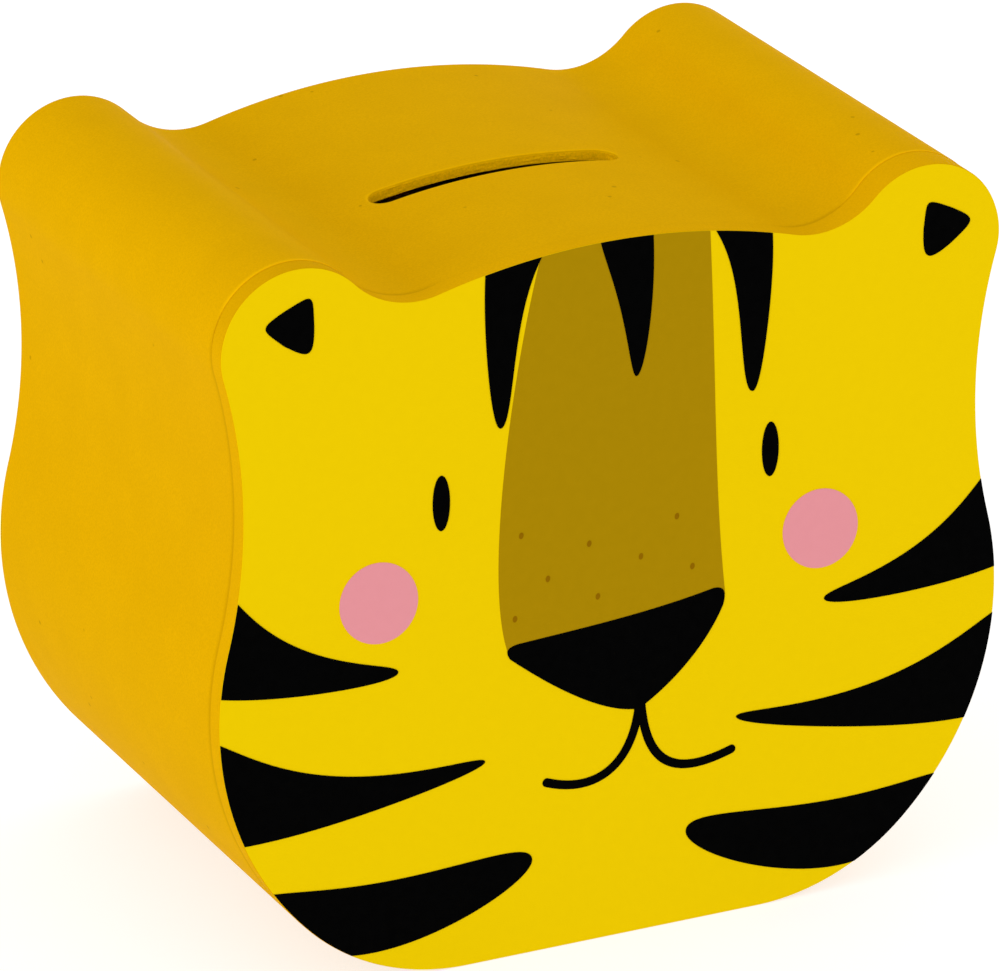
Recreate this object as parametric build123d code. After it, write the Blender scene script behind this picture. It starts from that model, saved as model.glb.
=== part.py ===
from build123d import *
import math
import os

# Money box in the outline of a cat's head, standing on its chin.
# X runs across the face, +Y from the face to the back, +Z up.
# The origin is the middle of the footprint, on the surface that the chin stands on.
# A thin bent wall is glued round two formers, capped in front and closed by an inset back.
# All sizes are in millimetres.

# Overall size
box_width = 120.0
box_height = 107.5
box_depth = 77.1

# Outline of the head, as arcs that run into each other
dome_radius = 101.8
dome_drop = 3.4            # crown of the dome below the tops of the ears
valley_radius = 12.5       # hollow between the dome and an ear
ear_radius = 11.5
ear_inset = 12.3           # centre of an ear in from the widest line of the cheeks
waist_radius = 76.7        # hollow between an ear and a cheek
cheek_radius = 46.0
cheek_height = 42.4        # centre of the cheek arcs above the base
jaw_radius = 33.4

# Boards and sheets
wall_thickness = 1.6
front_board_thickness = 3.0
former_thickness = 4.0
former_rim = 15.0          # least width of wood left above and below a former's opening
back_board_thickness = 4.0
back_recess = 2.5          # back board below the rear edge of the wall
print_thickness = 0.2
glue_line = 0.1            # gap filled with glue between curved faces
butt_gap = 0.2             # joint where the two ends of the bent wall meet

# Joint strip that bridges the butt joint inside the chin
strip_width = 24.0
strip_thickness = 1.6
strip_end_gap = 0.5

# Coin slot
slot_length = 38.0
slot_width = 4.7
slot_setback = 31.5        # front edge of the slot behind the face
slot_offset = -2.5         # middle of the slot from the middle of the dome

# Stopper and its hole
hole_radius = 17.5
hole_height = 40.0         # centre of the hole above the base
stopper_fit = 0.08         # radial running fit of the stopper's ribs in the hole
stopper_rib_height = 0.6   # ribs stand this far out of the barrel
stopper_rib_width = 1.2
stopper_rib_pitch = 2.0
stopper_rib_inset = 0.6    # first rib in from the flange
stopper_rib_count = 2
stopper_barrel_length = 7.5
stopper_wall = 1.8
flange_overlap = 3.5       # flange beyond the edge of the hole
flange_thickness = 1.6
flange_edge_radius = 0.5
flange_gap = 0.05          # soft flange clear of the back board
tab_width = 9.0            # lifting tab at the edge of the flange
tab_reach = 2.4
tab_thickness = 1.0

# Places that follow from the sizes above
half_width = box_width / 2
face_y = -box_depth / 2
print_back_y = face_y + print_thickness
wall_front_y = print_back_y + front_board_thickness
wall_back_y = box_depth / 2
back_board_rear_y = wall_back_y - back_recess
back_board_front_y = back_board_rear_y - back_board_thickness
back_former_front_y = back_board_front_y - former_thickness
front_former_back_y = wall_front_y + former_thickness

crown_height = box_height - dome_drop
dome_centre = (0.0, crown_height - dome_radius)
ear_centre = (half_width - ear_inset, box_height - ear_radius)
cheek_centre = (half_width - cheek_radius, cheek_height)
inner_edge = wall_thickness + glue_line


def meeting_centre(first, first_reach, second, second_reach):
    """Point at the two stated distances from two points, on the left of the way from first to second."""
    across = second[0] - first[0]
    up = second[1] - first[1]
    apart = math.hypot(across, up)
    along = (apart**2 + first_reach**2 - second_reach**2) / (2 * apart)
    aside = math.sqrt(first_reach**2 - along**2)
    return (
        first[0] + (along * across - aside * up) / apart,
        first[1] + (along * up + aside * across) / apart,
    )


def jaw_centre_of_cheek():
    """Centre of the jaw arc, which touches the base line and runs inside the cheek's circle."""
    drop = cheek_height - jaw_radius
    return (cheek_centre[0] + math.sqrt((cheek_radius - jaw_radius) ** 2 - drop**2), jaw_radius)


valley_centre = meeting_centre(
    dome_centre, dome_radius + valley_radius, ear_centre, ear_radius + valley_radius
)
waist_centre = meeting_centre(
    ear_centre, ear_radius + waist_radius, cheek_centre, cheek_radius + waist_radius
)
jaw_centre = jaw_centre_of_cheek()


def bearing(centre, target):
    """Direction from one point to another, in degrees."""
    return math.degrees(math.atan2(target[1] - centre[1], target[0] - centre[0]))


def round_arc(centre, radius, start, end, clockwise):
    """Arc about a centre from one direction to another."""
    turn = (start - end) % 360 if clockwise else (end - start) % 360
    return CenterArc(centre, radius, start, -turn if clockwise else turn)


def right_half(inset):
    """Arcs of the right half from the end of the dome to the chin, drawn in by an inset."""
    to_waist = bearing(ear_centre, waist_centre)
    to_cheek = bearing(waist_centre, cheek_centre)
    to_jaw = bearing(cheek_centre, jaw_centre)
    return [
        round_arc(
            valley_centre,
            valley_radius + inset,
            bearing(valley_centre, dome_centre),
            bearing(valley_centre, ear_centre),
            False,
        ),
        round_arc(
            ear_centre, ear_radius - inset, bearing(ear_centre, valley_centre), to_waist, True
        ),
        round_arc(waist_centre, waist_radius + inset, to_waist + 180, to_cheek, False),
        round_arc(cheek_centre, cheek_radius - inset, to_cheek + 180, to_jaw, True),
        round_arc(jaw_centre, jaw_radius - inset, to_jaw, -90, True),
    ]


def head_outline(inset):
    """Closed face of the head's outline, drawn in by an inset."""
    right = right_half(inset)
    left = [mirror(arc, about=Plane.YZ) for arc in right]
    dome_end = bearing(dome_centre, valley_centre)
    dome = round_arc(dome_centre, dome_radius - inset, 180 - dome_end, dome_end, True)
    chin = Line((-jaw_centre[0], inset), (jaw_centre[0], inset))
    return make_face([dome, chin] + right + left)


def stand_up(flat, front_y, thickness):
    """Board of a flat shape that stands facing the front, from front_y backwards."""
    return Pos(0, front_y + thickness, 0) * Rot(X=90) * extrude(flat, thickness)


def disc(radius, height, front_y, thickness):
    """Round board on the middle line, from front_y backwards."""
    return stand_up(Pos(0, height) * Circle(radius), front_y, thickness)


def face_print():
    """Printed sheet that covers the whole front board."""
    return stand_up(head_outline(0), face_y, print_thickness)


def front_board():
    """Front cap with the full outline of the head."""
    return stand_up(head_outline(0), print_back_y, front_board_thickness)


def former(front_y):
    """Ring that the wall is glued round, with a large round opening."""
    middle = crown_height / 2
    ring = stand_up(head_outline(inner_edge), front_y, former_thickness)
    return ring - disc(middle - former_rim, middle, front_y, former_thickness)


def coin_slot_cutter():
    """Upright block of the slot's round-ended plan."""
    middle_y = face_y + slot_setback + slot_width / 2
    plan = SlotOverall(slot_length, slot_width)
    return Pos(slot_offset, middle_y, crown_height / 2) * extrude(plan, box_height)


def wall():
    """Thin sheet bent round the whole outline, with its butt joint under the chin."""
    wall_depth = wall_back_y - wall_front_y
    bent = stand_up(head_outline(0), wall_front_y, wall_depth)
    bent -= stand_up(head_outline(wall_thickness), wall_front_y, wall_depth)
    bent -= Box(butt_gap, box_depth, 4 * wall_thickness)
    return bent - coin_slot_cutter()


def joint_strip():
    """Flat strip glued over the butt joint, between the two formers."""
    front_y = front_former_back_y + strip_end_gap
    length = back_former_front_y - strip_end_gap - front_y
    middle = Pos(0, front_y + length / 2, wall_thickness + strip_thickness / 2)
    return middle * Box(strip_width, length, strip_thickness)


def back_board():
    """Inset back with the round hole that the coins are taken out of."""
    board = stand_up(head_outline(inner_edge), back_board_front_y, back_board_thickness)
    return board - disc(hole_radius, hole_height, back_board_front_y, back_board_thickness)


def stopper():
    """Soft hollow stopper: ribbed barrel, flange and lifting tab."""
    rib_radius = hole_radius - stopper_fit
    barrel_radius = rib_radius - stopper_rib_height
    flange_front_y = back_board_rear_y + flange_gap
    barrel_front_y = flange_front_y - stopper_barrel_length
    flange_radius = hole_radius + flange_overlap
    flange = disc(flange_radius, hole_height, flange_front_y, flange_thickness)
    rim = flange.edges().group_by(Axis.Y)[-1]
    body = fillet(rim, flange_edge_radius)
    body += disc(barrel_radius, hole_height, barrel_front_y, stopper_barrel_length)
    for rib in range(stopper_rib_count):
        rib_rear_y = flange_front_y - stopper_rib_inset - rib * stopper_rib_pitch
        body += disc(rib_radius, hole_height, rib_rear_y - stopper_rib_width, stopper_rib_width)
    body -= disc(
        barrel_radius - stopper_wall, hole_height, barrel_front_y, stopper_barrel_length
    )
    tab_height = tab_reach + flange_edge_radius
    tab_middle = Pos(
        0,
        flange_front_y + tab_thickness / 2,
        hole_height + flange_radius - flange_edge_radius + tab_height / 2,
    )
    return body + tab_middle * Box(tab_width, tab_thickness, tab_height)


def main():
    os.makedirs("parts", exist_ok=True)
    pieces = {
        "face_print": face_print(),
        "front_board": front_board(),
        "front_former": former(wall_front_y),
        "bent_wall": wall(),
        "joint_strip": joint_strip(),
        "back_former": former(back_former_front_y),
        "back_board": back_board(),
        "stopper": stopper(),
    }
    for name, piece in pieces.items():
        export_step(piece, f"parts/{name}.step")


main()
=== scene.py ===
"""Looks of the wooden money box: painted bent wall, printed tiger face, inset back and soft stopper.

X runs across the face, +Y from the face to the back and +Z up, in metres.
Sizes in the tables of artwork are millimetres on the face, counted from the middle of the chin.
"""

from math import comb

import bmesh
import bpy
import numpy as np
from mathutils import Matrix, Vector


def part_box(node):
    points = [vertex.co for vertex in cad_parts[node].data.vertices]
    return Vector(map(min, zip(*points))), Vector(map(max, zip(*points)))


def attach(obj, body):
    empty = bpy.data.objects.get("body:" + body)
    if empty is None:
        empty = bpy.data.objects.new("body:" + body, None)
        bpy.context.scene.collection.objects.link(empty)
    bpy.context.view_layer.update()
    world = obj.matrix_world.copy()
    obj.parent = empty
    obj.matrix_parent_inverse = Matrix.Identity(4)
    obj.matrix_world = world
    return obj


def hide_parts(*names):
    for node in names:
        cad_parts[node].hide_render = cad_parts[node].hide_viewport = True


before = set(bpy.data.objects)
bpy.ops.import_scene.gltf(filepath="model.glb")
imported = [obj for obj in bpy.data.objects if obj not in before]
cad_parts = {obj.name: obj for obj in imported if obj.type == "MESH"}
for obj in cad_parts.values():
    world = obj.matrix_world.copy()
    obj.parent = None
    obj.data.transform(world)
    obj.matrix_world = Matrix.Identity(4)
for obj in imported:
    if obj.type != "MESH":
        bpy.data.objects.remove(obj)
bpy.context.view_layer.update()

MM = 0.001

# Places read from the frame
wall_low, wall_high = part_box("bent_wall")
board_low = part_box("front_board")[0]
sheet_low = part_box("face_print")[0]
back_low, back_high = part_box("back_board")
stopper_low, stopper_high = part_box("stopper")
HALF_WIDTH = wall_high.x
HEIGHT = wall_high.z
SHEET_FRONT = sheet_low.y
BOARD_FRONT = board_low.y
SEAM = wall_low.y
WALL_REAR = wall_high.y
BACK_FRONT, BACK_REAR = back_low.y, back_high.y
GLUED_EDGE = wall_high.x - back_high.x
STOPPER_FRONT, STOPPER_REAR = stopper_low.y, stopper_high.y

# Outline of the head: arcs that run into each other
DOME_RADIUS = 101.8 * MM
CROWN = HEIGHT - 3.4 * MM
VALLEY_RADIUS = 12.5 * MM
EAR_RADIUS = 11.5 * MM
EAR_INSET = 12.3 * MM
WAIST_RADIUS = 76.7 * MM
CHEEK_RADIUS = 46.0 * MM
CHEEK_HEIGHT = 42.4 * MM
JAW_RADIUS = 33.4 * MM
OUTLINE_STEP = 0.55 * MM

# Wall, slot and stopper
WALL_THICKNESS = 1.6 * MM
SLOT_LENGTH = 38.0 * MM
SLOT_WIDTH = 4.7 * MM
SLOT_MIDDLE = (-2.5 * MM, SHEET_FRONT + 33.85 * MM)
HOLE_RADIUS = 17.5 * MM
HOLE_HEIGHT = 40.0 * MM
FLANGE_RADIUS = 21.0 * MM
FLANGE_THICKNESS = 1.6 * MM
TAB_REACH = stopper_high.z - HOLE_HEIGHT - FLANGE_RADIUS

INK = 0.03 * MM  # thickness of one layer of printing ink
TRIM = 0.08 * MM  # print cut short of the board's outline


# ---------------------------------------------------------------- outline


def meeting_centre(first, first_reach, second, second_reach):
    """Point at two stated distances from two points, on the left of the way from first to second."""
    first, second = np.array(first), np.array(second)
    apart = np.hypot(*(second - first))
    along = (apart**2 + first_reach**2 - second_reach**2) / (2 * apart)
    aside = np.sqrt(first_reach**2 - along**2)
    ahead = (second - first) / apart
    return first + along * ahead + aside * np.array([-ahead[1], ahead[0]])


def head_arcs():
    """Arcs of the right half from the crown to the chin: centre, radius, and -1 for a hollow one."""
    dome = np.array([0.0, CROWN - DOME_RADIUS])
    ear = np.array([HALF_WIDTH - EAR_INSET, HEIGHT - EAR_RADIUS])
    cheek = np.array([HALF_WIDTH - CHEEK_RADIUS, CHEEK_HEIGHT])
    valley = meeting_centre(dome, DOME_RADIUS + VALLEY_RADIUS, ear, EAR_RADIUS + VALLEY_RADIUS)
    waist = meeting_centre(ear, EAR_RADIUS + WAIST_RADIUS, cheek, CHEEK_RADIUS + WAIST_RADIUS)
    drop = CHEEK_HEIGHT - JAW_RADIUS
    jaw_x = cheek[0] + np.sqrt((CHEEK_RADIUS - JAW_RADIUS) ** 2 - drop**2)
    return [
        (dome, DOME_RADIUS, 1),
        (valley, VALLEY_RADIUS, -1),
        (ear, EAR_RADIUS, 1),
        (waist, WAIST_RADIUS, -1),
        (cheek, CHEEK_RADIUS, 1),
        (np.array([jaw_x, JAW_RADIUS]), JAW_RADIUS, 1),
    ]


def arc_points(arcs, index, step):
    """Points and outward normals of one arc: centre + radius * (cos, sin), turning from joint to joint."""
    centre, radius, side = arcs[index]
    if index == 0:
        start = np.pi / 2
    else:
        before, _, before_side = arcs[index - 1]
        lead = before - centre if before_side != side else centre - before
        start = np.arctan2(lead[1], lead[0])
    if index + 1 < len(arcs):
        lead = arcs[index + 1][0] - centre
        end = np.arctan2(lead[1], lead[0])
    else:
        end = -np.pi / 2
    turn = (start - end) % (2 * np.pi) if side > 0 else -((end - start) % (2 * np.pi))
    count = max(2, int(np.ceil(abs(turn) * radius / step)))
    angle = start - turn * np.arange(count) / count
    ray = np.stack([np.cos(angle), np.sin(angle)], 1)
    return centre + radius * ray, side * ray


def head_outline(step=OUTLINE_STEP):
    """Closed outline, clockwise seen from the front, from the middle of the chin.

    The right half is the arcs' points and a straight chin, which gets closer points near the butt
    joint. The left half is its mirror image.
    """
    arcs = head_arcs()
    parts = [arc_points(arcs, index, step) for index in range(len(arcs))]
    chin_x = arcs[-1][0][0]
    joint_x = np.array([0.6, 0.35, 0.2, 0.1, 0.0]) * MM
    run = np.linspace(chin_x, joint_x[0], max(2, int(chin_x / step)), endpoint=False)
    chin = np.append(run, joint_x)
    points = np.vstack([p for p, _ in parts] + [np.stack([chin, 0 * chin], 1)])
    normals = np.vstack([n for _, n in parts] + [np.tile([0.0, -1.0], (len(chin), 1))])
    flip = np.array([-1.0, 1.0])
    points = np.vstack([(points * flip)[::-1], points[1:-1]])
    normals = np.vstack([(normals * flip)[::-1], normals[1:-1]])
    return points, normals


RIM, RIM_NORMAL = head_outline()
FINE_RIM, FINE_NORMAL = head_outline(0.05 * MM)
PRINT_RIM = FINE_RIM - TRIM * FINE_NORMAL


def rim_between(first, second, count):
    """Points along the print's edge, the short way, from nearest to first to nearest to second."""
    start = np.argmin(np.hypot(*(PRINT_RIM - first).T))
    end = np.argmin(np.hypot(*(PRINT_RIM - second).T))
    size = len(PRINT_RIM)
    way = (end - start + size // 2) % size - size // 2
    return PRINT_RIM[(start + np.rint(np.linspace(0, way, count)).astype(int)) % size]


# ---------------------------------------------------------------- meshes


def finish_piece(name, vertices, faces, material, body, replaced=(), marks=None):
    """Welded closed mesh with outward faces, smooth up to a sharp corner, riding on a body."""
    mesh = bpy.data.meshes.new(name)
    mesh.from_pydata(np.asarray(vertices).tolist(), [], faces)
    for mark, values in (marks or {}).items():
        layer = mesh.attributes.new(mark, "FLOAT", "POINT")
        layer.data.foreach_set("value", np.asarray(values, np.float32))
    shell = bmesh.new()
    shell.from_mesh(mesh)
    bmesh.ops.remove_doubles(shell, verts=shell.verts, dist=2e-7)
    bmesh.ops.dissolve_degenerate(shell, edges=shell.edges, dist=1e-8)
    bmesh.ops.recalc_face_normals(shell, faces=shell.faces)
    shell.to_mesh(mesh)
    shell.free()
    mesh.shade_smooth()
    mesh.set_sharp_from_angle(angle=np.radians(40))
    mesh.materials.append(material)
    piece = bpy.data.objects.new(name, mesh)
    bpy.context.scene.collection.objects.link(piece)
    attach(piece, body)
    if replaced:
        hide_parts(*replaced)
    return piece


def quads(rows, columns, close_rows=False, close_columns=False, skip=None):
    """Faces of a grid of points numbered row by row, where either way may close on itself."""
    row = np.arange(rows if close_rows else rows - 1)
    column = np.arange(columns if close_columns else columns - 1)
    row, column = [a.ravel() for a in np.meshgrid(row, column, indexing="ij")]
    if skip is not None:
        kept = ~skip(row, column)
        row, column = row[kept], column[kept]
    below, beside = (row + 1) % rows, (column + 1) % columns
    near, far = row * columns, below * columns
    return np.stack([near + column, near + beside, far + beside, far + column], 1)


def upright(across, up, back):
    """Points in space from places across and up the face and a place from front to back."""
    back = np.broadcast_to(back, np.shape(across))
    return np.stack([across, back, up], -1)


def slab(grid, front, thickness, round_shape=False):
    """Closed slab on a flat grid of points: its front, its back and the walls between them.

    A round shape's rows are rings that close on themselves, so only its last ring has a wall.
    """
    rows, columns = grid.shape[:2]
    faces = quads(rows, columns, close_columns=round_shape)
    count = rows * columns
    index = np.arange(count).reshape(rows, columns)
    if round_shape:
        edge = index[-1]
    else:
        edge = np.concatenate([index[0, :-1], index[:-1, -1], index[-1, :0:-1], index[:0:-1, 0]])
    following = np.roll(edge, -1)
    walls = np.stack([edge, edge + count, following + count, following], 1)
    ahead = upright(grid[..., 0], grid[..., 1], front).reshape(-1, 3)
    behind = upright(grid[..., 0], grid[..., 1], front + thickness).reshape(-1, 3)
    all_faces = np.vstack([faces, faces[:, ::-1] + count, walls])
    return np.vstack([ahead, behind]), all_faces.tolist()


def spread(points, centre, rings=6):
    """Grid that fills a closed line: centre + share * (point - centre), with share from 0 to 1."""
    share = np.linspace(0, 1, rings)[:, None, None]
    return centre + share * (points - centre)


def plate(profile, pole):
    """Plate of the head's outline, closed by a pole on each side.

    A row of the profile is share, inset and back: pole + share * (rim - inset * normal - pole).
    An inset or a back is one number, or one for each point of the rim.
    """
    share = np.array([row[0] for row in profile])[:, None]
    inset, back = [np.stack([row[part] + np.zeros(len(RIM)) for row in profile]) for part in (1, 2)]
    edge = RIM[None] - inset[..., None] * RIM_NORMAL[None]
    points = pole + share[..., None] * (edge - pole)
    vertices = upright(points[..., 0], points[..., 1], back).reshape(-1, 3)
    return vertices, quads(len(profile), len(RIM), close_columns=True).tolist()


def rounding(radius, steps, inset_first):
    """Inset and depth of a quarter round: radius * (1 - sin) and radius * (1 - cos)."""
    angle = np.linspace(0, np.pi / 2, steps)
    if inset_first:
        return radius * (1 - np.sin(angle)), radius * (1 - np.cos(angle))
    return radius * (1 - np.cos(angle)), radius * (1 - np.sin(angle))


# ---------------------------------------------------------------- shader maths


class Signal:
    """Number that varies over a surface, written like a plain number in an expression."""

    def __init__(self, finish, socket):
        self.finish = finish
        self.socket = socket

    def maths(self, operation, first, second=0.0):
        made = self.finish.node("ShaderNodeMath", {"operation": operation}, {0: first, 1: second})
        return Signal(self.finish, made.outputs[0])

    def __add__(self, other):
        return self.maths("ADD", self, other)

    def __mul__(self, other):
        return self.maths("MULTIPLY", self, other)

    def __rsub__(self, other):
        return self.maths("SUBTRACT", other, self)

    __radd__ = __add__
    __rmul__ = __mul__

    def ramp(self, low, high):
        """0 below low, 1 above high, and an even slope between them."""
        return self.finish.read(
            "ShaderNodeMapRange", {"clamp": True}, {"Value": self, "From Min": low, "From Max": high}
        )


class Finish:
    """Material with one Principled shader, whose other nodes come from node()."""

    def __init__(self, name, **fixed):
        self.material = bpy.data.materials.new(name)
        self.material.use_nodes = True
        self.tree = self.material.node_tree
        self.shader = self.tree.nodes["Principled BSDF"]
        for socket, value in fixed.items():
            self.shader.inputs[socket.replace("_", " ")].default_value = value
        place = self.node("ShaderNodeTexCoord", {}, {})
        self.place = place.outputs["Object"]

    def node(self, kind, settings, inputs):
        made = self.tree.nodes.new(kind)
        for setting, value in settings.items():
            setattr(made, setting, value)
        for socket, value in inputs.items():
            self.feed(made.inputs[socket], value)
        return made

    def feed(self, socket, value):
        if isinstance(value, Signal):
            value = value.socket
        if isinstance(value, bpy.types.NodeSocket):
            self.tree.links.new(value, socket)
        else:
            socket.default_value = value

    def read(self, kind, settings, inputs, output=0):
        return Signal(self, self.node(kind, settings, inputs).outputs[output])

    def noise(self, grain, detail=3.0, roughness=0.5):
        """Soft cloudy value of about 0.5, whose clouds are one grain wide, in metres."""
        values = {"Vector": self.place, "Scale": 1 / grain, "Detail": detail, "Roughness": roughness}
        return self.read("ShaderNodeTexNoise", {}, values)

    def dots(self, spacing, radius):
        """1 inside small round dots scattered about one spacing apart, 0 outside."""
        far = self.read("ShaderNodeTexVoronoi", {}, {"Vector": self.place, "Scale": 1 / spacing})
        return 1 - far.ramp(0.6 * radius / spacing, radius / spacing)

    def mark(self, name):
        """Value painted on the mesh under that name."""
        return self.read("ShaderNodeAttribute", {"attribute_name": name}, {}, "Fac")

    def blend(self, share, first, second):
        """Colour from first to second as share goes from 0 to 1."""
        made = self.node("ShaderNodeMix", {"data_type": "RGBA"}, {})
        self.feed(made.inputs["Factor"], share)
        for socket, value in zip(made.inputs[6:8], (first, second)):
            self.feed(socket, value)
        return made.outputs[2]

    def set(self, **values):
        for socket, value in values.items():
            self.feed(self.shader.inputs[socket.replace("_", " ")], value)

    def bump(self, height, depth, strength=1.0):
        made = self.node("ShaderNodeBump", {}, {"Height": height, "Distance": depth, "Strength": strength})
        self.set(Normal=made.outputs[0])


def colour(red, green, blue):
    """Opaque colour from display values of 0 to 255."""
    share = np.array([red, green, blue]) / 255
    linear = np.where(share <= 0.04045, share / 12.92, ((share + 0.055) / 1.055) ** 2.4)
    return (*linear.tolist(), 1.0)


# ---------------------------------------------------------------- finishes


def amber_paint():
    """Sprayed amber paint: very fine orange peel, cloudy tone, rare dark specks, and raw board inside.
    Painted shade lies in the seam's groove, painted highlights lie on its ridge and on the slot's rear lip,
    and the slot's cut walls are painted lighter.
    """
    finish = Finish("amber_paint", Specular_IOR_Level=0.001)
    clouds = finish.noise(8 * MM, 3)
    peel = finish.noise(0.3 * MM, 2)
    fibres = finish.noise(0.35 * MM, 4, 0.7)
    raw, cut = finish.mark("raw"), finish.mark("cut")
    paint = finish.blend(clouds.ramp(0.3, 0.7), colour(211, 159, 0), colour(215, 162, 0))
    paint = finish.blend(peel.ramp(0.35, 0.65) * 0.5, paint, colour(199, 149, 0))
    paint = finish.blend(finish.dots(7 * MM, 0.4 * MM) * 0.4, paint, colour(125, 88, 0))
    # painted shade in the seam's groove and along the left ear's board edge
    paint = finish.blend(finish.mark("dark") * 0.35, paint, colour(150, 108, 0))
    # painted highlight on the seam's ridge over the ears and on the slot's rear lip
    paint = finish.blend(finish.mark("light") * 0.7, paint, colour(238, 183, 0))
    # painted light: the slot's cut walls are painted lighter, standing in for light reaching into the slot;
    # the mottle below is their rough fibre
    paint = finish.blend(cut, paint, colour(255, 197, 0))
    paint = finish.blend(cut * fibres.ramp(0.35, 0.65) * 0.5, paint, colour(196, 147, 0))
    board = finish.blend(fibres.ramp(0.3, 0.7), colour(128, 92, 60), colour(168, 128, 88))
    finish.set(Base_Color=finish.blend(raw, paint, board))
    finish.set(Roughness=0.46 + 0.08 * peel + 0.35 * raw)
    finish.bump(peel + fibres * cut * 3, 0.02 * MM)
    return finish.material


def raw_board():
    """Sawn fibreboard: brown, with short pale and dark fibres."""
    finish = Finish("raw_board", Specular_IOR_Level=0.2)
    fibres = finish.noise(0.5 * MM, 5, 0.7)
    clouds = finish.noise(12 * MM, 2)
    brown = finish.blend(clouds, colour(132, 96, 62), colour(160, 120, 82))
    finish.set(Base_Color=finish.blend(fibres.ramp(0.4, 0.75) * 0.6, brown, colour(98, 68, 42)))
    finish.set(Roughness=0.85 + 0.1 * fibres)
    finish.bump(fibres, 0.08 * MM)
    return finish.material


def printing_ink(name, tone, shade, gloss=0.6):
    """Matte printing ink: even colour with a faint mottle and the tooth of the sheet under it."""
    finish = Finish(name, Specular_IOR_Level=0.01)
    mottle = finish.noise(1.6 * MM, 3)
    tooth = finish.noise(0.12 * MM, 2)
    finish.set(Base_Color=finish.blend(mottle.ramp(0.35, 0.65) * 0.5, tone, shade))
    finish.set(Roughness=gloss + 0.06 * tooth)
    finish.bump(tooth, 0.004 * MM)
    return finish.material


def soft_black():
    """Moulded soft stopper: matte black with a fine sparkle texture and dusty patches."""
    finish = Finish("soft_black", Specular_IOR_Level=0.4)
    texture = finish.noise(0.25 * MM, 2)
    dust = finish.noise(6 * MM, 4)
    finish.set(Base_Color=finish.blend(dust.ramp(0.45, 0.8) * 0.4, colour(26, 26, 27), colour(44, 43, 42)))
    finish.set(Roughness=0.55 + 0.12 * texture + 0.08 * dust)
    finish.bump(texture, 0.015 * MM)
    return finish.material


AMBER = amber_paint()
BOARD = raw_board()
LEMON_INK = printing_ink("lemon_ink", colour(229, 195, 0), colour(227, 193, 0))
BROWN_INK = printing_ink("brown_ink", colour(163, 128, 3), colour(159, 125, 2))
FRECKLE_INK = printing_ink("freckle_ink", colour(137, 96, 0), colour(131, 91, 0))
BLACK_INK = printing_ink("black_ink", colour(1, 1, 1), colour(3, 3, 3))
PINK_INK = printing_ink("pink_ink", colour(220, 142, 149), colour(218, 140, 147))
SOFT_BLACK = soft_black()


# ---------------------------------------------------------------- seam between board and wall


def ease(value, low, high):
    """0 below low, 1 above high, and 3t^2 - 2t^3 between them."""
    t = np.clip((value - low) / (high - low), 0, 1)
    return t * t * (3 - 2 * t)


FADE = 0.9 * MM  # reach of the seam's groove and tones
ACROSS, UP = RIM[:, 0] / HALF_WIDTH, RIM[:, 1] / HEIGHT
ON_EAR = ease(UP, 0.88, 0.94) * ease(abs(ACROSS), 0.55, 0.68)
ON_DOME = ease(UP, 0.88, 0.92) * (1 - ease(abs(ACROSS), 0.4, 0.5))
ON_RIDGE = ON_EAR * ease(UP, 0.93, 0.965)
# Depth of the groove, step from the wall down to the board, and how far back the seam wanders
SEAM_DIP = 0.06 * MM * (1 - 0.85 * ON_DOME) * (1 - 0.6 * ON_EAR) * (1 - ON_RIDGE)
EAR_STEP = 0.08 * MM * ON_EAR
SEAM_DRIFT = 2.5 * MM * ease(ACROSS, 0.35, 0.8) * ease(UP, 0.1, 0.8)
# share of painted shade in the seam's groove, strong on the sides and faint on the dome and the ears
SEAM_SHADE = (1 - 0.9 * ON_DOME) * (1 - 0.7 * ON_EAR) * (1 - ON_RIDGE)


def seam_shade_and_highlight(back):
    """Painted shade in the seam's groove and a painted highlight on its ridge over the ears, for rows at
    places back.
    """
    past = (np.array(back) - SEAM)[:, None]
    behind = past >= -1e-7
    near = 1 - ease(abs(past), 0, np.where(behind, FADE, 0.25 * FADE))
    dark = near * np.where(behind, SEAM_SHADE, SEAM_SHADE + 0.2 * ON_RIDGE)
    light = near * behind * ON_RIDGE
    return dark, light


# ---------------------------------------------------------------- bent wall with the coin slot


def dome_height(across):
    """Height of the dome's surface: centre of its circle + sqrt(radius^2 - across^2)."""
    return CROWN - DOME_RADIUS + np.sqrt(DOME_RADIUS**2 - across**2)


def wall_rows(slot_low, slot_high):
    """Places from front to back of the wall's rows, closer beside the slot and at both edges."""
    front = np.linspace(SEAM + 2 * FADE, slot_low, 10)
    beside = np.linspace(slot_low, slot_high, 12)
    rear = np.linspace(slot_high, WALL_REAR - 1.2 * MM, 12)
    return np.unique(np.concatenate([front, beside, rear, [BACK_REAR, WALL_REAR - 0.8 * MM]]).round(7))


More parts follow.
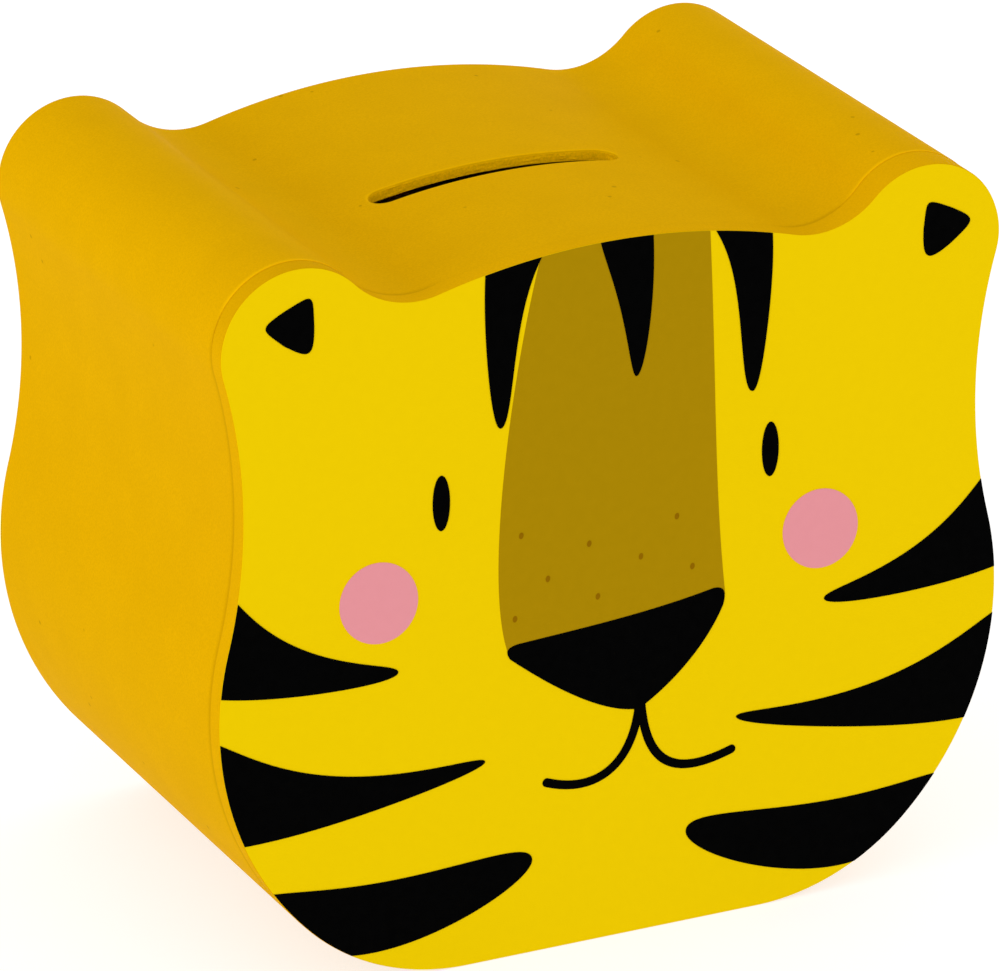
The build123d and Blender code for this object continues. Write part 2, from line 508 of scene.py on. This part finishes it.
def slot_rings(outer, inner):
    """Rings from the skin round the slot, over its soft lips, down its rough walls, to the inner skin.

    The plan of a ring is spine + (half width + offset) * outward, where the spine is the slot's middle
    line, and its height is the dome's less a depth. The first and last rings meet the two skins.
    """
    half_width, lip = SLOT_WIDTH / 2, 0.2 * MM
    reach = SLOT_LENGTH / 2 - half_width
    plan = outer[:, :2]
    spine_x = np.clip(plan[:, 0], SLOT_MIDDLE[0] - reach, SLOT_MIDDLE[0] + reach)
    spine = np.stack([spine_x, np.full(len(plan), SLOT_MIDDLE[1])], 1)
    outward = (plan - spine) / np.hypot(*(plan - spine).T)[:, None]
    random = np.random.default_rng(11)
    fuzz = random.normal(size=(12, len(plan)))
    fuzz = sum(np.roll(fuzz, shift, 1) for shift in (-1, 0, 1)) / 3
    rings, cut, rim = [], [], []
    # share of a painted highlight on the slot's lip, on its rear half only
    at_rear = ease(outward[:, 1], -0.2, 0.4)

    def ring(offset, depth, share=1.0, is_cut=0.0, lip_highlight=0.0):
        edge = spine + (half_width + offset)[:, None] * outward
        place = plan + share * (edge - plan)
        rings.append(np.column_stack([place, dome_height(place[:, 0]) - depth]))
        cut.append(np.full(len(plan), is_cut))
        rim.append(lip_highlight * at_rear)

    flat = np.zeros(len(plan))
    for approach in (0.4, 0.7, 0.88):
        ring(flat + lip, 0, approach)
    for angle in np.linspace(0, np.pi / 2, 6):
        ring(flat + lip * (1 - np.sin(angle)), lip * (1 - np.cos(angle)), lip_highlight=0.5)
    for step, depth in enumerate(np.linspace(lip + 0.12 * MM, WALL_THICKNESS - 0.02 * MM, 9)):
        ring(flat - 0.05 * MM * fuzz[step] ** 2, depth, is_cut=1.0)
    ring(flat + 0.15 * MM, WALL_THICKNESS)
    edge = rings[-1]
    rings.append(edge + 0.5 * (inner - edge))
    cut.append(flat)
    rim.append(flat)
    return np.array(rings), np.array(cut), np.array(rim)


def bent_wall():
    """Thin wall: a closed cross-section carried round the outline, opened at the slot.

    A point is rim - inset * normal at its place from front to back. The two front corners meet the
    front board, the rear edge is softly rounded by paint, and a fine groove marks the butt joint.
    """
    margin = 2.6 * MM
    slot_low = SLOT_MIDDLE[1] - SLOT_WIDTH / 2 - margin
    slot_high = SLOT_MIDDLE[1] + SLOT_WIDTH / 2 + margin
    places = wall_rows(slot_low, slot_high)
    rear_inset, rear_depth = rounding(0.45 * MM, 6, False)
    front_inset, front_depth = np.zeros(5), np.array([0, 0.2, 0.4, 0.65, 1]) * FADE
    rear_back = WALL_REAR - rear_depth
    inset = np.concatenate([front_inset, 0 * places, rear_inset, (WALL_THICKNESS - rear_inset)[::-1]])
    inset = np.concatenate([inset, 0 * places + WALL_THICKNESS, [WALL_THICKNESS]])
    back = np.concatenate([SEAM + front_depth, places, rear_back, rear_back[::-1], places[::-1], [SEAM]])
    outer_row = len(front_inset) + np.searchsorted(places, [slot_low - 1e-7, slot_high - 1e-7])
    inner_last = len(inset) - 2 - np.searchsorted(places, [slot_low - 1e-7, slot_high - 1e-7])
    column = np.flatnonzero(
        (RIM[:, 1] > CROWN - 12 * MM) & (abs(RIM[:, 0] - SLOT_MIDDLE[0]) < SLOT_LENGTH / 2 + margin)
    )
    first, last = column[0], column[-1]
    groove_depth, groove_reach = 0.14 * MM, 0.13 * MM
    near_joint = np.exp(-((RIM[:, 0] / groove_reach) ** 2)) * (RIM[:, 1] < 1 * MM)
    outside = (inset < 0.5 * WALL_THICKNESS)[:, None]
    fade = 1 - ease(back - SEAM, 0, FADE)[:, None]
    depth = inset[:, None] + outside * (groove_depth * near_joint + SEAM_DIP * fade)
    points = RIM[None] - depth[..., None] * RIM_NORMAL[None]
    drift = np.clip((slot_low - back) / (slot_low - SEAM), 0, 1)[:, None] * SEAM_DRIFT
    vertices = upright(points[..., 0], points[..., 1], back[:, None] + drift).reshape(-1, 3)
    size = len(RIM)

    def in_slot(row, col):
        outside = (row >= outer_row[0]) & (row < outer_row[1])
        inside = (row >= inner_last[1]) & (row < inner_last[0])
        return (outside | inside) & (col >= first) & (col < last)

    faces = quads(len(inset), size, True, True, in_slot)
    steps = np.arange(outer_row[1] - outer_row[0])
    across = np.arange(first, last)
    walk = [(0 * across, across), (steps, 0 * steps + last)]
    walk += [(0 * across + len(steps), across[::-1] + 1), (len(steps) - steps, 0 * steps + first)]
    down, along = [np.concatenate(part) for part in zip(*walk)]
    outer = (outer_row[0] + down) * size + along
    inner = (inner_last[0] - down) * size + along
    rings, cut, rim = slot_rings(vertices[outer], vertices[inner])
    start = len(vertices)
    numbers = start + np.arange(rings.shape[0] * rings.shape[1]).reshape(rings.shape[:2])
    numbers = np.vstack([outer, numbers, inner])
    beside = np.roll(numbers, -1, 1)
    lips = np.stack([numbers[:-1], numbers[1:], beside[1:], beside[:-1]], -1).reshape(-1, 4)
    raw = np.repeat((inset > 0.9 * WALL_THICKNESS) & (back < BACK_REAR - 0.01 * MM), size).astype(float)
    # painted shade and painted highlight along the seam; the slot's rear lip adds its painted highlight
    dark, light = [(tone * outside).ravel() for tone in seam_shade_and_highlight(back)]
    none = np.zeros(cut.size)
    marks = {
        "raw": np.concatenate([raw, none]),
        "cut": np.concatenate([0 * raw, cut.ravel()]),
        "dark": np.concatenate([dark, none]),
        "light": np.concatenate([light, rim.ravel()]),
    }
    vertices = np.vstack([vertices, rings.reshape(-1, 3)])
    faces = np.vstack([faces, lips]).tolist()
    return finish_piece(
        "painted_wall", vertices, faces, AMBER, "box", ["bent_wall"], marks
    )


# ---------------------------------------------------------------- boards


def front_board():
    """Front cap: flat faces closed by a pole, with its edge set slightly below the wall at the ears.

    Toward the right ear the edge runs on back as a rim as thick as the wall, where the seam drifts.
    """
    pole = np.array([0.0, 0.5 * HEIGHT])
    soft = TRIM
    inset, depth = rounding(soft, 5, True)
    profile = [(share, soft + EAR_STEP, BOARD_FRONT) for share in (0, 0.3, 0.6, 0.85, 0.97)]
    profile += [(1, i + EAR_STEP, BOARD_FRONT + d) for i, d in zip(inset, depth)]
    profile += [(1, EAR_STEP, BOARD_FRONT + share * (SEAM - BOARD_FRONT)) for share in (0.15, 0.4, 0.65)]
    for ahead in np.array([1, 0.65, 0.4, 0.2, 0]) * FADE:
        profile.append((1, EAR_STEP + SEAM_DIP * (1 - ease(ahead, 0, FADE)), SEAM - ahead))
    profile.append((1, WALL_THICKNESS, SEAM))
    level = [(share, WALL_THICKNESS, SEAM) for share in (1, 0.97, 0.85, 0.6, 0.3, 0)]
    thickness = SEAM - BOARD_FRONT
    drifted = [(s, i, back + (back - BOARD_FRONT) / thickness * SEAM_DRIFT) for s, i, back in profile]
    vertices, faces = plate(drifted + level, pole)
    profile += level
    # painted shade on the board's edge: the seam's groove, and the left ear's edge darker than the right
    dark, _ = seam_shade_and_highlight([row[2] for row in profile])
    on_edge = np.array([row[0] == 1 for row in profile])[:, None]
    left_ear_shade = ON_EAR * (RIM[:, 0] < 0)
    marks = {"dark": (np.maximum(dark, 0.35 * left_ear_shade) * on_edge).ravel()}
    return finish_piece(
        "painted_front_board", vertices, faces, AMBER, "box", ["front_board"], marks
    )


def printed_sheet():
    """Lemon printed sheet that covers the front board."""
    front = SHEET_FRONT + 3 * INK
    inset = TRIM + EAR_STEP
    profile = [(share, inset, front) for share in (0, 0.3, 0.6, 0.85, 1)]
    profile += [(share, inset, BOARD_FRONT) for share in (1, 0.85, 0.6, 0.3, 0)]
    vertices, faces = plate(profile, np.array([0.0, 0.5 * HEIGHT]))
    return finish_piece(
        "printed_sheet", vertices, faces, LEMON_INK, "box", ["face_print"]
    )


def back_board():
    """Inset back: a closed cross-section carried between the round hole and the outline.

    A point is hole + share * (edge - hole), with soft edges round the hole and flat faces.
    """
    centre = np.array([0.0, HOLE_HEIGHT])
    toward = RIM - GLUED_EDGE * RIM_NORMAL
    ray = toward - centre
    ray /= np.hypot(*ray.T)[:, None]
    soft = 0.4 * MM
    offset, depth = rounding(soft, 6, False)
    hole = [(HOLE_RADIUS + o, BACK_REAR - soft + d) for o, d in zip(offset, depth)][::-1]
    rows = []
    for radius, back in [(HOLE_RADIUS, BACK_FRONT)] + [(r, b) for r, b in reversed(hole)]:
        rows.append((centre + radius * ray, back))
    lip_edge = centre + (HOLE_RADIUS + soft) * ray
    for share in (0.02, 0.3, 0.65, 1.0):
        rows.append((lip_edge + share * (toward - lip_edge), BACK_REAR))
    front_edge = centre + HOLE_RADIUS * ray
    for share in (1.0, 0.5):
        rows.append((front_edge + share * (toward - front_edge), BACK_FRONT))
    vertices = np.vstack([upright(points[:, 0], points[:, 1], back) for points, back in rows])
    faces = quads(len(rows), len(RIM), True, True).tolist()
    return finish_piece("painted_back_board", vertices, faces, AMBER, "box", ["back_board"])


def soft_stopper():
    """Stopper turned from one profile: radius against place from front to back.

    The flange's radius grows near the top by reach * exp(-(angle / width)^4), which makes its tab.
    """
    flange_front = STOPPER_REAR - FLANGE_THICKNESS
    core, rib, bore = 16.82 * MM, 17.42 * MM, 15.02 * MM
    rib_inset, rib_pitch, rib_width = 0.6 * MM, 2.0 * MM, 1.2 * MM
    edge = 0.55 * MM
    profile = [(0.0, flange_front), (bore - 0.3 * MM, flange_front), (bore, flange_front - 0.3 * MM)]
    profile += [(bore, STOPPER_FRONT + 0.3 * MM), (bore + 0.3 * MM, STOPPER_FRONT)]
    profile += [(core - 0.4 * MM, STOPPER_FRONT), (core, STOPPER_FRONT + 0.4 * MM)]
    for index in (1, 0):
        rib_rear = flange_front - rib_inset - index * rib_pitch
        rib_front = rib_rear - rib_width
        profile += [(core, rib_front), (rib - 0.15 * MM, rib_front + 0.1 * MM)]
        profile += [(rib, rib_front + 0.35 * MM), (rib, rib_rear - 0.35 * MM)]
        profile += [(rib - 0.15 * MM, rib_rear - 0.1 * MM), (core, rib_rear)]
    profile += [(core, flange_front), (FLANGE_RADIUS - 0.15 * MM, flange_front)]
    profile += [(FLANGE_RADIUS, flange_front + 0.15 * MM), (FLANGE_RADIUS, STOPPER_REAR - edge)]
    inset, depth = rounding(edge, 6, False)
    profile += [(FLANGE_RADIUS - i, STOPPER_REAR - d) for i, d in zip(inset, depth)]
    dish = 0.45 * MM
    shoulder = [(17.6, 0), (17.3, 0.05), (17.0, 0.4), (16.7, 0.95), (16.4, 1), (9, 1), (2.2, 1)]
    moulding_point = [(1.9, 0.9), (1.5, 0.55), (0.9, 0.42), (0.0, 0.4)]
    profile += [(radius * MM, STOPPER_REAR - sunk * dish) for radius, sunk in shoulder + moulding_point]
    radius, back = np.array(profile).T[..., None]
    angle = np.linspace(0, 2 * np.pi, 160, endpoint=False)[None]
    from_top = (angle - np.pi / 2 + np.pi) % (2 * np.pi) - np.pi
    tab = TAB_REACH * np.exp(-((from_top / 0.24) ** 4))
    at_edge = (radius > FLANGE_RADIUS - edge - 0.01 * MM) & (back > flange_front - 1e-9)
    reach = radius + tab * at_edge
    vertices = upright(reach * np.cos(angle), HOLE_HEIGHT + reach * np.sin(angle), back + 0 * angle)
    faces = quads(len(profile), angle.size, close_columns=True).tolist()
    return finish_piece(
        "soft_stopper", vertices.reshape(-1, 3), faces, SOFT_BLACK, "stopper", ["stopper"]
    )


# ---------------------------------------------------------------- artwork


def bezier(corners, count=40):
    """Bezier curve: sum of corner * binomial * (1 - t)^(n - k) * t^k, in metres."""
    corners = np.array(corners) * MM
    degree = len(corners) - 1
    t = np.linspace(0, 1, count)
    shares = [comb(degree, k) * (1 - t) ** (degree - k) * t**k for k in range(degree + 1)]
    return np.stack(shares, 1) @ corners


def joined(curves, count=24):
    """Closed line made of curves end to end."""
    return np.vstack([bezier(curve, count)[:-1] for curve in curves])


def filled(lower, upper, start, end):
    """Coons patch between four curves: the two ruled surfaces added, less the four corners' share."""
    u = np.linspace(0, 1, len(lower))[:, None, None]
    v = np.linspace(0, 1, len(start))[None, :, None]
    sides = (1 - v) * lower[:, None] + v * upper[:, None]
    ends = (1 - u) * start[None] + u * end[None]
    corners = (1 - u) * ((1 - v) * lower[0] + v * upper[0]) + u * ((1 - v) * lower[-1] + v * upper[-1])
    return sides + ends - corners


def ink(name, grids, layer, material, round_shape=False):
    """One printed shape, or several, as thin slabs of ink lying on the sheet."""
    front = SHEET_FRONT + layer * INK
    thickness = (3 - layer) * INK + 0.2 * INK
    vertices, faces, start = [], [], 0
    for grid in grids:
        points, quads_here = slab(grid, front, thickness, round_shape)
        vertices.append(points)
        faces += [[start + corner for corner in face] for face in quads_here]
        start += len(points)
    return finish_piece(name, np.vstack(vertices), faces, material, "box")


def edge_stripe(upper, lower):
    """Stripe that narrows from the edge of the face to a round tip, between two curves."""
    upper, lower = bezier(upper, 60), bezier(lower, 60)
    start = rim_between(lower[0], upper[0], 12)
    end = np.linspace(lower[-1], upper[-1], 12)
    fade = np.linspace(1, 0, len(upper))[:, None] ** 2
    upper = upper + fade * (start[-1] - upper[0])
    lower = lower + fade * (start[0] - lower[0])
    return filled(lower, upper, start, end)


def oval(centre, half_across, half_up, lean=0.0):
    """Filled ellipse: centre + rings of (half_across * cos, half_up * sin), turned by a lean in degrees."""
    angle = np.linspace(0, 2 * np.pi, 64, endpoint=False)
    turn = np.radians(lean)
    across, up = half_across * np.cos(angle), half_up * np.sin(angle)
    points = [across * np.cos(turn) - up * np.sin(turn), across * np.sin(turn) + up * np.cos(turn)]
    middle = np.array(centre) * MM
    return spread(middle + np.stack(points, 1) * MM, middle)


def stroke(corners, width):
    """Pen stroke of even width with round ends: a curve +- half width times its side direction.

    The half width falls to nothing over the last half width of the run as sqrt(1 - distance^2).
    """
    line = bezier(corners, 90)
    step = np.gradient(line, axis=0)
    length = np.hypot(*step.T)
    ahead = step / length[:, None]
    side = np.stack([-ahead[:, 1], ahead[:, 0]], 1)
    run = np.concatenate([[0], np.cumsum(np.hypot(*np.diff(line, axis=0).T))])
    half = 0.5 * width * MM
    cap = np.linspace(0, np.pi / 2, 10)
    start = line[0] - ahead[0] * (half * np.cos(cap))[:, None]
    finish = line[-1] + ahead[-1] * (half * np.sin(cap))[:, None]
    middle = np.vstack([start, line[1:-1], finish])
    sides = np.vstack([np.tile(side[0], (10, 1)), side[1:-1], np.tile(side[-1], (10, 1))])
    halves = np.concatenate([half * np.sin(cap), np.full(len(run) - 2, half), half * np.cos(cap)])[:, None]
    share = np.linspace(-1, 1, 5)[None, :, None]
    return middle[:, None] + share * (halves * sides)[:, None]


STRIPES = {
    "left_upper_stripe": (
        [(-57.4, 60.8), (-54.0, 56.9), (-47.3, 48.3), (-33.2, 48.3), (-33.2, 46.4)],
        [(-59.5, 47.2), (-52.5, 45.6), (-45.3, 45.1), (-33.2, 44.7), (-33.2, 46.4)],
    ),
    "left_middle_stripe": (
        [(-59.8, 40.5), (-51.9, 35.8), (-41.4, 27.6), (-20.0, 32.4), (-20.0, 30.5)],
        [(-56.7, 24.6), (-46.9, 24.6), (-37.0, 26.0), (-20.0, 29.0), (-20.0, 30.5)],
    ),
    "left_lower_stripe": (
        [(-52.2, 16.7), (-41.7, 15.8), (-31.4, 12.8), (-12.7, 18.8), (-12.7, 14.2)],
        [(-40.4, 5.1), (-32.5, 4.1), (-22.5, 6.4), (-12.7, 11.4), (-12.7, 14.2)],
    ),
    "right_upper_stripe": (
        [(57.5, 59.2), (53.3, 54.7), (46.9, 47.1), (32.6, 47.2), (32.6, 45.4)],
        [(59.3, 45.4), (53.4, 44.2), (46.4, 43.7), (32.6, 43.6), (32.6, 45.4)],
    ),
    "right_middle_stripe": (
        [(58.9, 38.4), (51.8, 34.6), (40.7, 26.1), (19.0, 31.8), (19.0, 29.9)],
        [(55.6, 22.9), (46.6, 22.9), (36.2, 24.9), (19.0, 28.3), (19.0, 29.9)],
    ),
    "right_lower_stripe": (
        [(51.1, 15.0), (41.7, 14.5), (31.0, 11.5), (11.3, 18.6), (11.3, 13.8)],
        [(38.4, 3.8), (31.8, 2.9), (20.9, 5.5), (11.3, 11.0), (11.3, 13.8)],
    ),
    "left_brow_stripe": (
        [(-11.7, 103.3), (-14.4, 98.2), (-16.1, 91.9), (-15.8, 79.5), (-17.8, 79.5)],
        [(-20.1, 101.9), (-20.4, 96.1), (-20.0, 89.9), (-19.2, 79.5), (-17.8, 79.5)],
    ),
    "middle_brow_stripe": (
        [(5.2, 103.9), (5.5, 98.2), (5.3, 92.6), (4.1, 83.7), (2.8, 83.7)],
        [(-2.8, 103.9), (-1.6, 99.1), (1.4, 94.1), (1.7, 83.7), (2.8, 83.7)],
    ),
    "right_brow_stripe": (
        [(23.5, 101.3), (23.9, 95.0), (23.1, 88.6), (22.2, 78.5), (20.8, 78.5)],
        [(14.8, 103.0), (17.9, 97.9), (19.3, 91.1), (18.7, 78.5), (20.8, 78.5)],
    ),
}
EAR_MARKS = {
    "left_ear_mark": [
        [(-50.0, 96.8), (-46.5, 94.5), (-45.5, 94.1), (-45.5, 98.9)],
        [(-45.5, 98.9), (-45.7, 103.7), (-45.3, 103.7), (-49.8, 101.7)],
        [(-49.8, 101.7), (-53.8, 99.7), (-53.2, 99.6), (-50.0, 96.8)],
    ],
    "right_ear_mark": [
        [(51.5, 95.4), (55.3, 98.3), (55.5, 98.4), (51.4, 100.6)],
        [(51.4, 100.6), (47.1, 102.6), (47.6, 102.4), (47.1, 98.1)],
        [(47.1, 98.1), (47.0, 93.5), (47.7, 92.9), (51.5, 95.4)],
    ],
}
NOSE = [
    [(-15.0, 47.2), (-5.0, 47.8), (5.1, 48.2), (15.1, 50.1)],
    [(15.1, 50.1), (17.1, 50.2), (17.1, 48.9), (16.7, 47.4)],
    [(16.7, 47.4), (14.4, 42.2), (9.7, 37.6), (4.9, 34.7)],
    [(4.9, 34.7), (4.2, 34.2), (3.6, 34.1), (2.9, 34.1)],
    [(2.9, 34.1), (-3.1, 34.8), (-11.6, 41.3), (-16.2, 45.1)],
    [(-16.2, 45.1), (-17.2, 46.6), (-16.4, 47.0), (-15.0, 47.2)],
]
MUZZLE_LEFT = [(-11.8, 103.3), (-15.5, 90.0), (-20.6, 58.0), (-16.5, 46.0)]
MUZZLE_RIGHT = [(13.9, 103.0), (15.2, 80.5), (15.0, 65.5), (17.0, 48.9)]
MOUTH = [
    [(3.7, 34.3), (2.7, 25.9), (-2.6, 22.3), (-10.5, 25.5)],
    [(4.1, 34.3), (5.1, 25.0), (9.6, 22.4), (18.3, 25.1)],
]
EYES = {"left_eye": (-26.7, 70.1), "right_eye": (23.7, 69.4)}
BLUSHES = {"left_blush": (-36.1, 57.1, 127), "right_blush": (31.8, 56.1, 131)}
FRECKLES = [
    (-14.6, 63.2),
    (-4.2, 60.2),
    (9.3, 61.9),
    (3.8, 56.9),
    (11.8, 54.0),
    (-10.5, 56.1),
    (-2.8, 52.1),
    (-15.5, 51.0),
]


def muzzle():
    """Brown band from the dome's edge down to the nose, which hides its lower end."""
    left, right = bezier(MUZZLE_LEFT, 60), bezier(MUZZLE_RIGHT, 60)
    top = rim_between(left[0], right[0], 40)
    fade = np.linspace(1, 0, 60)[:, None] ** 4
    left = left + fade * (top[0] - left[0])
    right = right + fade * (top[-1] - right[0])
    return filled(left, right, top, np.linspace(left[-1], right[-1], 40))


def artwork():
    """All the ink on the sheet: brown first, then freckles, blushes and black."""
    ink("muzzle_band", [muzzle()], 2, BROWN_INK)
    ink("freckles", [oval(place, 0.34, 0.48, -8) for place in FRECKLES], 1, FRECKLE_INK, True)
    for name, (across, up, lean) in BLUSHES.items():
        ink(name, [oval((across, up), 6.1, 5.75, lean)], 1, PINK_INK, True)
    for name, (upper, lower) in STRIPES.items():
        ink(name, [edge_stripe(upper, lower)], 0, BLACK_INK)
    for name, place in EYES.items():
        ink(name, [oval(place, 1.3, 4.05, 0)], 0, BLACK_INK, True)
    for name, curves in EAR_MARKS.items():
        line = joined(curves)
        ink(name, [spread(line, line.mean(0))], 0, BLACK_INK, True)
    line = joined(NOSE)
    ink("nose", [spread(line, np.array([1.0, 43.5]) * MM)], 0, BLACK_INK, True)
    ink("mouth_left", [stroke(MOUTH[0], 1.3)], 0.2, BLACK_INK)
    ink("mouth_right", [stroke(MOUTH[1], 1.3)], 0.4, BLACK_INK)


# ---------------------------------------------------------------- stage, lights and camera


def pale_floor():
    """Large pale floor, faintly lit from below like a light table."""
    glow = {"Emission_Color": (1.0, 1.0, 1.0, 1.0), "Emission_Strength": 0.66}
    finish = Finish("pale_floor", Roughness=0.9, Specular_IOR_Level=0.0, **glow)
    clouds = finish.noise(0.4, 2)
    finish.set(Base_Color=finish.blend(clouds, (0.42, 0.42, 0.42, 1), (0.44, 0.44, 0.44, 1)))
    half, low = 6.0, -0.02 * MM
    corners = [(-half, -half, low), (half, -half, low), (half, half, low), (-half, half, low)]
    mesh = bpy.data.meshes.new("floor")
    mesh.from_pydata(corners, [], [(0, 1, 2, 3)])
    mesh.materials.append(finish.material)
    floor = bpy.data.objects.new("floor", mesh)
    bpy.context.scene.collection.objects.link(floor)


def soft_light(name, place, aim, size, power):
    """Large square lamp at a place, turned to face a point."""
    lamp = bpy.data.lights.new(name, "AREA")
    lamp.size = size
    lamp.energy = power
    light = bpy.data.objects.new(name, lamp)
    bpy.context.scene.collection.objects.link(light)
    back = np.array(place) - np.array(aim)
    back /= np.linalg.norm(back)
    right = np.cross([0, 0, 1], back)
    right /= np.linalg.norm(right)
    light.matrix_world = turned(right, np.cross(back, right), back, place)


def turned(right, up, back, place):
    """Matrix of an object whose own axes point right, up and back."""
    rows = np.eye(4)
    rows[:3, 0], rows[:3, 1], rows[:3, 2], rows[:3, 3] = right, up, back, place
    return Matrix(rows.tolist())


def studio():
    """Pale room light, one large soft lamp from the front left and a weaker one from the right."""
    world = bpy.data.worlds.new("room")
    world.use_nodes = True
    world.node_tree.nodes["Background"].inputs["Color"].default_value = (1, 1, 1, 1)
    world.node_tree.nodes["Background"].inputs["Strength"].default_value = 1.0
    bpy.context.scene.world = world
    aim = (0, 0, 0.05)
    soft_light("key", (-1.45, -0.35, 0.3), aim, 0.8, 6)
    soft_light("edge", (1.2, 0.5, 0.4), aim, 0.6, 2)


def camera():
    """Long lens just above the left of the face."""
    lens = bpy.data.cameras.new("camera")
    lens.lens = 287.8
    lens.sensor_width = 36.0
    lens.clip_start, lens.clip_end = 0.05, 50
    viewer = bpy.data.objects.new("camera", lens)
    bpy.context.scene.collection.objects.link(viewer)
    right = np.array([0.899085, -0.437763, 0.003177])
    up = np.array([0.161673, 0.338772, 0.926874])
    back = np.cross(right, up)
    place = np.array([-0.460148, SHEET_FRONT - 0.905546, 0.479250]) + 0.00008 * (up - right)
    viewer.matrix_world = turned(right, up, back, place)
    bpy.context.scene.camera = viewer
    bpy.context.scene.view_settings.view_transform = "Standard"


def main():
    bent_wall()
    front_board()
    printed_sheet()
    back_board()
    soft_stopper()
    artwork()
    for node in ("front_former", "back_former", "joint_strip"):
        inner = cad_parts[node]
        inner.data.materials.clear()
        inner.data.materials.append(BOARD)
    pale_floor()
    studio()
    camera()


main()
